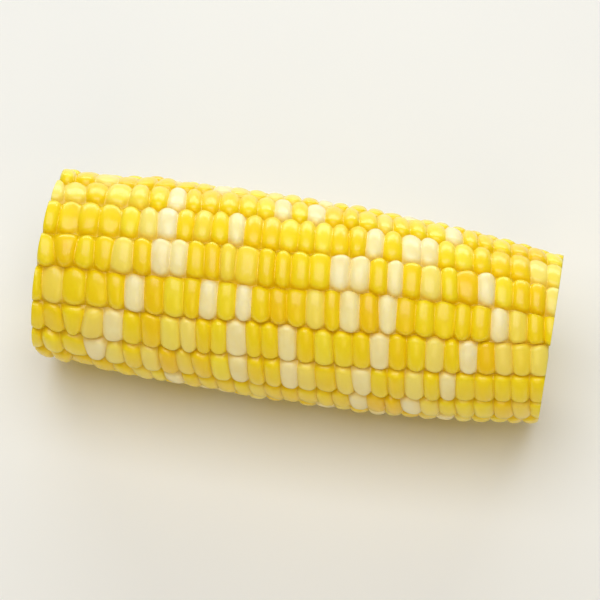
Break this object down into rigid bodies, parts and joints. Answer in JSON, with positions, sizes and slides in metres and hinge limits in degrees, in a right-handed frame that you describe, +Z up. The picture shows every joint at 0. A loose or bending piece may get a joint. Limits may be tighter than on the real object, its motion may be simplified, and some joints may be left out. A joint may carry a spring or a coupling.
{
  "type": "corn cob",
  "caption": "Husked bicolour sweetcorn cob, trimmed flat at both ends, lying on its side.",
  "frame": {"origin": "on the ground, under the middle of the cob's bounding box", "axes": "+X along the cob from its stalk (butt) end to its tip end, +Z up"},
  "size_m": [0.114, 0.0464, 0.0467],
  "materials": {
    "kernels": "glossy yellow kernels with scattered cream-white ones; pale, dull flesh on the cut ends"
  },
  "bodies": {
    "root": {"corn_cob": "kernels"}
  },
  "joints": []
}
